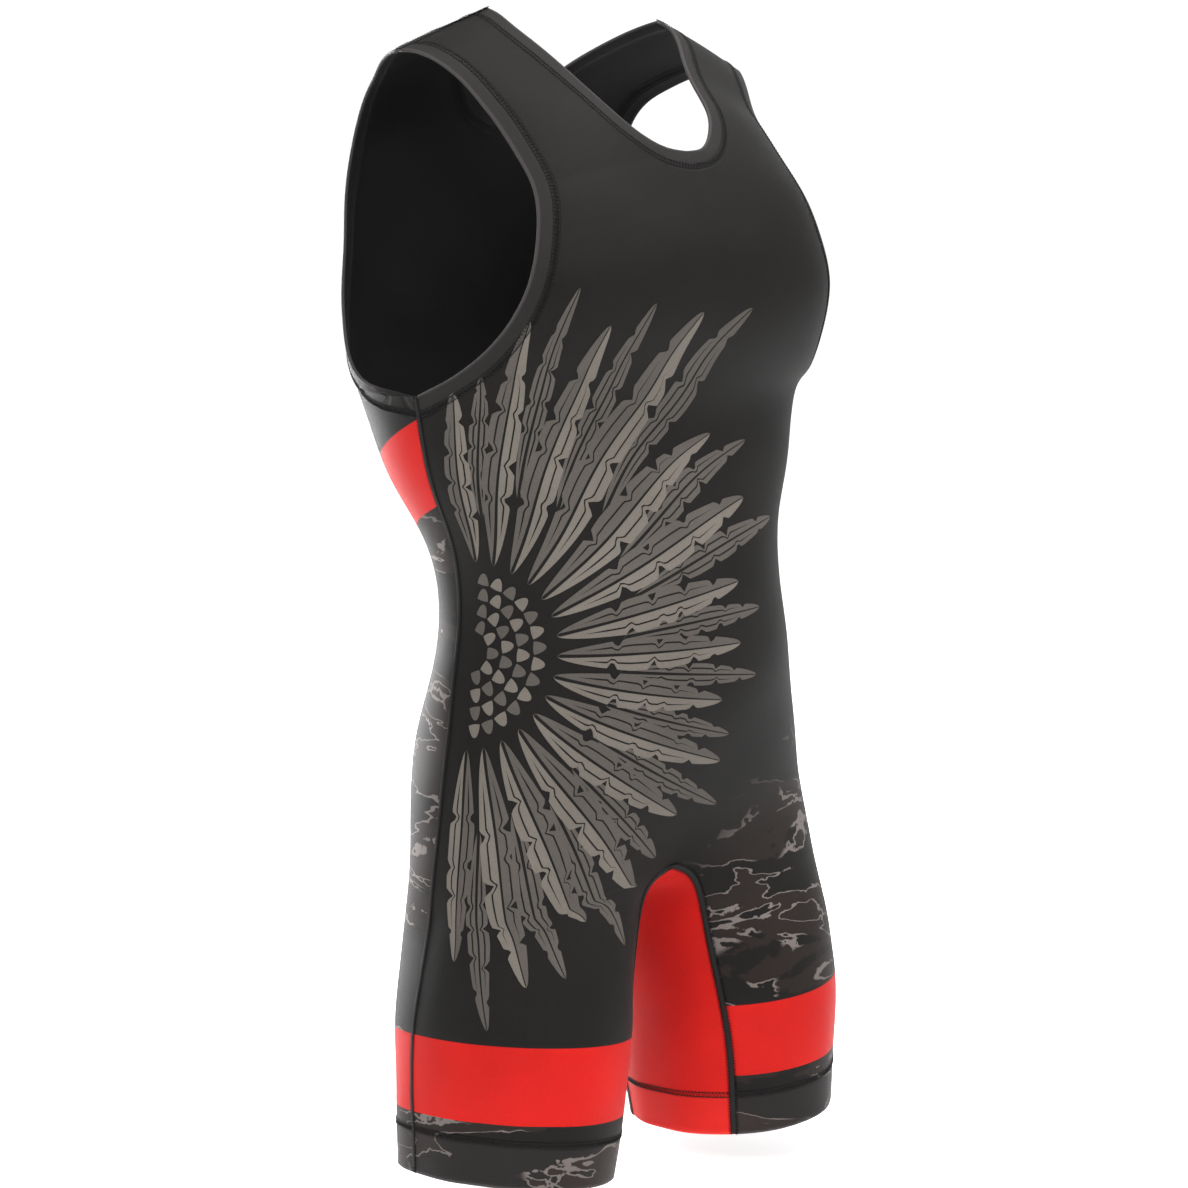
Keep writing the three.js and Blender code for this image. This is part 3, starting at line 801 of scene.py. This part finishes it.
# Feathers: direction in degrees up from inward, length, width, bend
FEATHERS = [
    (86, 128, 9, -6),
    (66, 196, 11, -12),
    (48, 232, 13.5, -18),
    (24, 176, 12.5, -14),
    (0, 136, 11, 0),
    (-22, 146, 11.5, 12),
    (-50, 172, 12.5, 14),
    (-70, 172, 12, 10),
    (-86, 158, 10, 6),
]

full_grid = front_rows.grid(front["rows"], np.linspace(0, 1, 81), cut=False)
side_run = along_row(full_grid[:, ::-1])


def on_front(inward, down):
    """Place on the wearer's right front: distance from the side line, and down the panel."""
    level = float(np.interp(down, front["rows"], np.arange(len(front["rows"]))))
    low = min(int(level), len(front["rows"]) - 2)
    spots = []
    for i in (low, low + 1):
        total = side_run[i, -1]
        crossed = inward > total
        reach = 2 * total - inward if crossed else inward
        row = full_grid[i, ::-1]
        spot = np.array([np.interp(reach, side_run[i], row[:, k]) for k in range(3)])
        spots.append(spot if crossed else mirrored(spot))
    spot = spots[0] + (spots[1] - spots[0]) * (level - low)
    return drop(spot)


def strip(pile, rise, middles, sides, inner, outer):
    """Printed strip beside a feather's middle line, between two widths."""
    points, marks = [], []
    for share in (0.0, 0.5, 1.0):
        width = inner + (outer - inner) * share
        for middle, side, w in zip(middles, sides, width):
            spot = middle + side * w
            place, up = on_front(spot[0], spot[1])
            points.append(place + up * rise)
            marks.append(spot)
    n = len(middles)
    faces = []
    for k in range(2):
        for i in range(n - 1):
            if outer[i] - inner[i] > 0.02 or outer[i + 1] - inner[i + 1] > 0.02:
                a = k * n + i
                faces.append((a, a + 1, a + 1 + n, a + n))
    pile.add(np.array(points), faces, np.array(marks))


def feather(piles, rise, angle, start, length, width, bend, seed):
    """One curved feather with a split middle, a fine inner line and notched edges."""
    chance = np.random.RandomState(seed)
    count = int(length / 2.4)
    s = np.linspace(0, 1, count + 1)
    turn = np.radians(angle + bend * (s - 0.3))
    heading = np.stack([np.cos(turn), -np.sin(turn)], -1)
    away = math.radians(angle)
    first = np.array(PRINT_ROOT) + start * np.array([math.cos(away), -math.sin(away)])
    middles = first + np.concatenate([np.zeros((1, 2)), np.cumsum(heading[:-1], axis=0)]) * length / count
    across = np.stack([np.sin(turn), np.cos(turn)], -1)
    body = width * np.clip(s / 0.35, 0, 1) ** 0.6 * np.clip((1 - s) / 0.45, 0, 1) ** 0.55
    quill = 0.35 + 0.8 * (1 - s)
    for side, pile in zip((1, -1), piles):
        edge = body.copy()
        for k in range(4):
            at = 0.25 + 0.17 * k + 0.1 * chance.rand()
            deep = 0.35 + 0.35 * chance.rand()
            edge *= 1 - deep * np.clip(1 - np.abs(s - at) / 0.025, 0, 1)
        inner = np.minimum(quill, edge)
        line = 0.55 * edge
        slit = 0.55 * np.clip((s - 0.12) / 0.1, 0, 1) * np.clip((0.8 - s) / 0.2, 0, 1)
        strip(pile, rise, middles, across * side, inner, np.maximum(inner, line - slit))
        strip(pile, rise, middles, across * side, np.maximum(inner, line + slit), np.maximum(edge, inner))


def scallop(pile, angle, radius, width, thick):
    """One of the small crescents round the root."""
    s = np.linspace(0, 1, 15)
    turn = np.radians(angle) + np.radians(width) * (s - 0.5)
    out = np.stack([np.cos(turn), -np.sin(turn)], -1)
    swell = np.sin(np.pi * s) ** 0.8
    middles = np.array(PRINT_ROOT) + radius * out
    strip(pile, PRINT_RISE, middles, out, -0.1 * thick * swell, thick * swell)


def printed_feathers():
    """A half wheel of long feathers, short ones between them and scallops at the root."""
    pale, dark = Pile(), Pile()
    table = np.array(FEATHERS, float)[::-1]
    angles = np.linspace(table[-1, 0], table[0, 0], FEATHER_COUNT)
    gap = angles[0] - angles[1]
    for k, angle in enumerate(angles):
        length, width, bend = (np.interp(angle, table[:, 0], table[:, i]) for i in (1, 2, 3))
        length *= 1.06 if k % 2 else 0.94
        feather((pale, dark), PRINT_RISE, angle, QUILL_START, length, width, bend, k)
        if k < FEATHER_COUNT - 1:
            between = angle - gap / 2
            start = QUILL_START + 0.3 * length
            feather((dark, dark), PRINT_RISE / 2, between, start, 0.85 * length, 0.7 * width, bend, 50 + k)
    for ring_number, radius in enumerate(SCALLOP_RINGS):
        count = 5 + 3 * ring_number
        step = (angles[0] - angles[-1]) / count
        for k in range(count):
            pile = pale if (k + ring_number) % 2 else dark
            scallop(pile, angles[-1] + step * (k + 0.5), radius, 0.88 * step, SCALLOP)
    return pale.thing("pale_feathers"), dark.thing("dark_feathers")


feather_prints = printed_feathers()


# Materials
class Nodes:
    """Small helper that adds and links shader nodes."""

    def __init__(self, name):
        self.material = bpy.data.materials.new(name)
        self.material.use_nodes = True
        self.tree = self.material.node_tree
        self.shader = self.tree.nodes["Principled BSDF"]

    def add(self, kind, inputs=None, **settings):
        node = self.tree.nodes.new("ShaderNode" + kind)
        for key, value in settings.items():
            setattr(node, key, value)
        for key, value in (inputs or {}).items():
            self.put(node.inputs[key], value)
        return node

    def put(self, socket, value):
        if hasattr(value, "is_output"):
            self.tree.links.new(value, socket)
        else:
            socket.default_value = value

    def maths(self, what, a, b=0.0, c=0.0):
        node = self.add("Math", operation=what)
        for socket, value in zip(node.inputs, (a, b, c)):
            self.put(socket, value)
        return node.outputs[0]

    def step(self, value, low, high):
        span = {"Value": value, "From Min": low, "From Max": high, "To Min": 0.0, "To Max": 1.0}
        return self.add("MapRange", span, interpolation_type="SMOOTHSTEP").outputs[0]

    def mix(self, share, a, b):
        node = self.add("Mix", data_type="RGBA")
        self.put(node.inputs[0], share)
        self.put(node.inputs[6], a)
        self.put(node.inputs[7], b)
        return node.outputs[2]

    def noise(self, vector, scale, detail=2.0, rough=0.5, distort=0.0):
        look = {"Vector": vector, "Scale": scale, "Detail": detail}
        return self.add("TexNoise", {**look, "Roughness": rough, "Distortion": distort}).outputs[0]


def colour(red, green, blue):
    """Screen colour from 0 to 255 as linear light."""
    out = []
    for value in (red, green, blue):
        v = value / 255
        out.append(v / 12.92 if v <= 0.04045 else ((v + 0.055) / 1.055) ** 2.4)
    return (*out, 1.0)


BLACK = colour(22, 21, 20)
BROWN = colour(33, 28, 26)
# Inside face of the black knit, painted darker as shade
INSIDE_SHADED = colour(15, 14, 15)
RED = colour(168, 23, 19)
GREY = colour(100, 93, 90)
PRINT = colour(95, 90, 84)
DARK_PRINT = colour(73, 69, 65)

# Red band across the back, in metres below the armhole
BACK_BAND_SLOPE = 0.34
BACK_BAND_START = 0.014
BACK_BAND_WIDTH = 0.044

# Width and height of one knitted loop, in metres
WALE = 0.00085
COURSE = 0.0007


def knit(nodes, tone, edge_highlight):
    """Shared finish of the knit: tone changes, loops, small pile, the hem's fold and a painted highlight
    along the hem edges.
    """
    place = nodes.add("TexCoord").outputs["Object"]
    uv = nodes.add("UVMap", uv_map="cloth").outputs[0]
    split = nodes.add("SeparateXYZ", {"Vector": uv})
    across = nodes.maths("SINE", nodes.maths("MULTIPLY", split.outputs[0], 2 * math.pi / WALE))
    down = nodes.maths("SINE", nodes.maths("MULTIPLY", split.outputs[1], 2 * math.pi / COURSE))
    loops = nodes.maths("MULTIPLY", across, down)
    pile = nodes.noise(place, 900.0, 3.0, 0.6)
    slow = nodes.noise(place, 14.0, 3.0, 0.55)
    height = nodes.maths("ADD", nodes.maths("MULTIPLY", loops, 0.5), nodes.maths("MULTIPLY", pile, 1.2))
    # Cloth pressed down along the hem stitching, and a painted highlight that makes the turned hem paler
    # towards the edge
    hem = nodes.add("SeparateXYZ", {"Vector": nodes.add("UVMap", uv_map="hem").outputs[0]})
    edge = hem.outputs[0]
    at_leg = nodes.step(nodes.maths("SUBTRACT", hem.outputs[1], edge), 0.002, 0.0)
    line = nodes.maths("MULTIPLY_ADD", at_leg, (LEG_HEM - NECK_HEM) * MM, NECK_HEM * MM)
    from_line = nodes.maths("ABSOLUTE", nodes.maths("SUBTRACT", edge, line))
    pressed = nodes.step(from_line, 0.0008, 0.0034)
    fold_bump = nodes.add("Bump", {"Height": pressed, "Strength": 0.9, "Distance": 0.0007})
    bump = nodes.add("Bump", {"Height": height, "Strength": 0.8, "Distance": 0.00012})
    nodes.put(bump.inputs["Normal"], fold_bump.outputs[0])
    nodes.put(nodes.shader.inputs["Normal"], bump.outputs[0])
    shade = nodes.maths("MULTIPLY_ADD", slow, 0.5, 0.75)
    fleck = nodes.maths("MULTIPLY_ADD", pile, 0.5, 0.75)
    lit = nodes.add("Mix", data_type="RGBA", blend_type="MULTIPLY")
    nodes.put(lit.inputs[0], 1.0)
    nodes.put(lit.inputs[6], tone)
    both = nodes.maths("MULTIPLY", shade, fleck)
    grey = nodes.add("CombineColor", {"Red": both, "Green": both, "Blue": both})
    nodes.put(lit.inputs[7], grey.outputs[0])
    # Painted highlight: the rolled rim of each hem is mixed towards a paler highlight colour, and the turned
    # band a little
    fold = nodes.maths("MULTIPLY", nodes.step(edge, 0.0024, 0.0), 0.3)
    past_line = nodes.maths("SUBTRACT", edge, line)
    turned = nodes.maths("MULTIPLY", nodes.step(past_line, 0.0005, -0.0015), 0.06)
    highlight_share = nodes.maths("MAXIMUM", fold, turned)
    nodes.put(nodes.shader.inputs["Base Color"], nodes.mix(highlight_share, lit.outputs[2], edge_highlight))
    rough = nodes.maths("MULTIPLY_ADD", slow, 0.12, 0.46)
    nodes.put(nodes.shader.inputs["Roughness"], nodes.maths("MULTIPLY_ADD", pile, 0.08, rough))
    nodes.shader.inputs["Sheen Weight"].default_value = 0.04
    nodes.shader.inputs["Sheen Roughness"].default_value = 0.22
    nodes.shader.inputs["Specular IOR Level"].default_value = 0.06
    return nodes.material


def camo(nodes, tone, shown):
    """Torn dark patches with thin pale outlines, where they are shown."""
    place = nodes.add("TexCoord").outputs["Object"]
    lying = {"Vector": place, "Scale": (8.0, 8.0, 30.0), "Rotation": (0.3, 0.3, 0.0)}
    turned = nodes.add("Mapping", lying).outputs[0]
    jag = nodes.noise(place, 90.0, 3.0, 0.6)
    field = nodes.noise(turned, 1.0, 3.0, 0.5, 0.5)
    field = nodes.maths("ADD", field, nodes.maths("MULTIPLY_ADD", jag, 0.1, -0.05))
    patch = nodes.maths("MULTIPLY", nodes.step(field, 0.49, 0.5), shown)
    swell = nodes.step(nodes.noise(place, 30.0, 2.0, 0.5), 0.5, 0.7)
    width = nodes.maths("MULTIPLY_ADD", swell, 0.014, 0.007)
    line = 0.0
    for level, place_scale in ((0.495, 17.0), (0.6, 23.0)):
        away = nodes.maths("DIVIDE", nodes.maths("ABSOLUTE", nodes.maths("SUBTRACT", field, level)), width)
        broken = nodes.step(nodes.noise(place, place_scale, 1.0, 0.5), 0.41, 0.46)
        drawn = nodes.maths("MULTIPLY", nodes.step(away, 1.2, 0.7), broken)
        line = nodes.maths("MAXIMUM", line, drawn)
    tone = nodes.mix(patch, tone, BROWN)
    return nodes.mix(nodes.maths("MULTIPLY", nodes.maths("MULTIPLY", line, shown), 0.9), tone, GREY)


def band(nodes, value, low, high):
    """1 between two values, with an edge 0.4 mm wide."""
    above = nodes.step(value, low - 0.0002, low + 0.0002)
    below = nodes.step(value, high + 0.0002, high - 0.0002)
    return nodes.maths("MULTIPLY", above, below)


def panel_material(part, name):
    """Black knit with camouflage, the red bands at the legs and, at the back, one across."""
    nodes = Nodes(name)
    uv = nodes.add("UVMap", uv_map="cloth").outputs[0]
    split = nodes.add("SeparateXYZ", {"Vector": uv})
    down = nodes.maths("MULTIPLY", split.outputs[1], -1.0)
    panel = part["panel"]
    spot = nodes.add("SeparateXYZ", {"Vector": nodes.add("TexCoord").outputs["Object"]})
    if panel.facing > 0:
        shown = nodes.step(spot.outputs[2], -0.30, -0.36)
    else:
        level = nodes.maths("MULTIPLY_ADD", spot.outputs[0], -0.9, spot.outputs[2])
        below = nodes.step(level, -0.55, -0.66)
        shown = nodes.maths("MULTIPLY", below, nodes.step(spot.outputs[0], -0.01, 0.05))
        low = panel.at("band low") * MM
        shown = nodes.maths("MAXIMUM", shown, nodes.step(down, low - 0.001, low))
    tone = camo(nodes, BLACK, shown)
    red = band(nodes, down, panel.at("band top") * MM, panel.at("band low") * MM)
    if panel.facing > 0:
        out = nodes.maths("ABSOLUTE", split.outputs[0])
        lower = nodes.maths("MULTIPLY_ADD", out, -BACK_BAND_SLOPE, 0.0)
        side = along_row(part["grid"])[part["marks"]["armhole"], -1] * MM
        start = panel.at("armhole") * MM + BACK_BAND_SLOPE * side + BACK_BAND_START
        slant = nodes.maths("SUBTRACT", down, lower)
        red = nodes.maths("MAXIMUM", red, band(nodes, slant, start, start + BACK_BAND_WIDTH))
    # The pale grey is the painted highlight on the rolled hem edges
    return knit(nodes, nodes.mix(red, tone, RED), colour(96, 92, 92))


def plain_material(name, tone, edge_highlight):
    return knit(Nodes(name), tone, edge_highlight)


def thread_material(name, tone):
    nodes = Nodes(name)
    place = nodes.add("TexCoord").outputs["Object"]
    twist = nodes.noise(place, 2500.0, 2.0, 0.6)
    slow = nodes.noise(place, 60.0, 2.0, 0.5)
    bright = nodes.maths("MULTIPLY_ADD", slow, 0.6, 0.7)
    pale = tuple(min(1.0, v * 1.5) for v in tone[:3]) + (1.0,)
    nodes.put(nodes.shader.inputs["Base Color"], nodes.mix(nodes.maths("MULTIPLY", bright, 0.5), tone, pale))
    nodes.put(nodes.shader.inputs["Roughness"], nodes.maths("MULTIPLY_ADD", twist, 0.2, 0.5))
    bump = nodes.add("Bump", {"Height": twist, "Strength": 0.5, "Distance": 0.0001})
    nodes.put(nodes.shader.inputs["Normal"], bump.outputs[0])
    nodes.shader.inputs["Specular IOR Level"].default_value = 0.2
    return nodes.material


# Inside faces: the same black knit painted darker as shade, with a paler painted highlight at the hem edges
shaded_inside = plain_material("inside_knit_shaded", INSIDE_SHADED, colour(70, 68, 70))
front_cloth.data.materials.append(panel_material(front, "front_knit"))
front_cloth.data.materials.append(shaded_inside)
back_cloth.data.materials.append(panel_material(back, "back_knit"))
back_cloth.data.materials.append(shaded_inside)
# Red gusset with a brighter painted highlight along its hem edge; its inside face is the same red painted
# darker as shade, with its own painted edge highlight
gusset_cloth.data.materials.append(plain_material("gusset_knit", RED, colour(235, 80, 70)))
gusset_cloth.data.materials.append(plain_material("gusset_inside_shaded", colour(150, 22, 20), colour(170, 60, 50)))
for thing, tone in zip(feather_prints, (PRINT, DARK_PRINT)):
    thing.data.materials.append(plain_material(thing.name + "_ink", tone, tone))
black_thread = thread_material("black_thread", colour(12, 11, 11))
for thing in threads + seams:
    thing.data.materials.append(black_thread)

# Pieces
panels = (
    (front_cloth, "front_panel", "black_knit_front"),
    (back_cloth, "back_panel", "black_knit_back"),
    (gusset_cloth, "gusset", "red_knit"),
)
for thing, node, slot in panels:
    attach(thing, "root")
    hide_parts(node)
for thing in (*threads, *seams, *feather_prints):
    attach(thing, "root")

# Floor, lights and camera
FLOOR_HALF = 9000.0
FLOOR_LEVEL = -812.0
TO_CAMERA = (-0.6884, -0.7153, 0.1201)
CAMERA_AIM = (0, 0, -0.4006)
CAMERA_DISTANCE = 2.011

corners = [(x * FLOOR_HALF, y * FLOOR_HALF, FLOOR_LEVEL) for x, y in ((-1, -1), (1, -1), (1, 1), (-1, 1))]
floor = make_mesh("floor", corners, [(0, 1, 2, 3)])
paper = Nodes("floor_paper")
paper.shader.inputs["Base Color"].default_value = (0.93, 0.93, 0.93, 1)
paper.shader.inputs["Roughness"].default_value = 0.9
paper.shader.inputs["Emission Color"].default_value = (1, 1, 1, 1)
paper.shader.inputs["Emission Strength"].default_value = 0.8
floor.data.materials.append(paper.material)

bpy.context.scene.view_settings.view_transform = "Standard"
world = bpy.data.worlds.new("studio")
world.use_nodes = True
sky = world.node_tree

# White behind the object as the photo shows it, grey elsewhere
spot = sky.nodes.new("ShaderNodeTexCoord")
facing = sky.nodes.new("ShaderNodeVectorMath")
facing.operation = "DOT_PRODUCT"
facing.inputs[1].default_value = [-v for v in TO_CAMERA]
backdrop = sky.nodes.new("ShaderNodeMapRange")
backdrop.interpolation_type = "SMOOTHSTEP"
for key, number in (("From Min", 0.1), ("From Max", 0.85), ("To Min", 0.25), ("To Max", 1.05)):
    backdrop.inputs[key].default_value = number
sky.links.new(spot.outputs["Generated"], facing.inputs[0])
sky.links.new(facing.outputs["Value"], backdrop.inputs["Value"])
sky.links.new(backdrop.outputs[0], sky.nodes["Background"].inputs["Strength"])
sky.nodes["Background"].inputs["Color"].default_value = (1, 1, 1, 1)
bpy.context.scene.world = world


def softbox(name, place, aim, size, power):
    light = bpy.data.lights.new(name, "AREA")
    light.shape = "RECTANGLE"
    light.size, light.size_y = size
    light.energy = power
    thing = bpy.data.objects.new(name, light)
    bpy.context.scene.collection.objects.link(thing)
    thing.location = place
    thing.rotation_mode = "QUATERNION"
    thing.rotation_quaternion = (Vector(aim) - Vector(place)).to_track_quat("-Z", "Y")
    return thing


softbox("key", (-1.6, -0.9, 1.2), (0, 0, -0.35), (1.0, 1.2), 46)
softbox("top", (0.4, -0.7, 1.3), (0, 0, -0.1), (1.2, 1.2), 62)
softbox("rim_left", (0.1, 2.5, 0.1), (0, 0, -0.4), (0.7, 1.8), 120)

camera_data = bpy.data.cameras.new("camera")
camera_data.lens = 87.03
camera_data.sensor_width = 36
camera = bpy.data.objects.new("camera", camera_data)
bpy.context.scene.collection.objects.link(camera)
toward = Vector(TO_CAMERA).normalized()
camera.location = Vector(CAMERA_AIM) + toward * CAMERA_DISTANCE
camera.rotation_mode = "QUATERNION"
camera.rotation_quaternion = toward.to_track_quat("Z", "Y")
bpy.context.scene.camera = camera
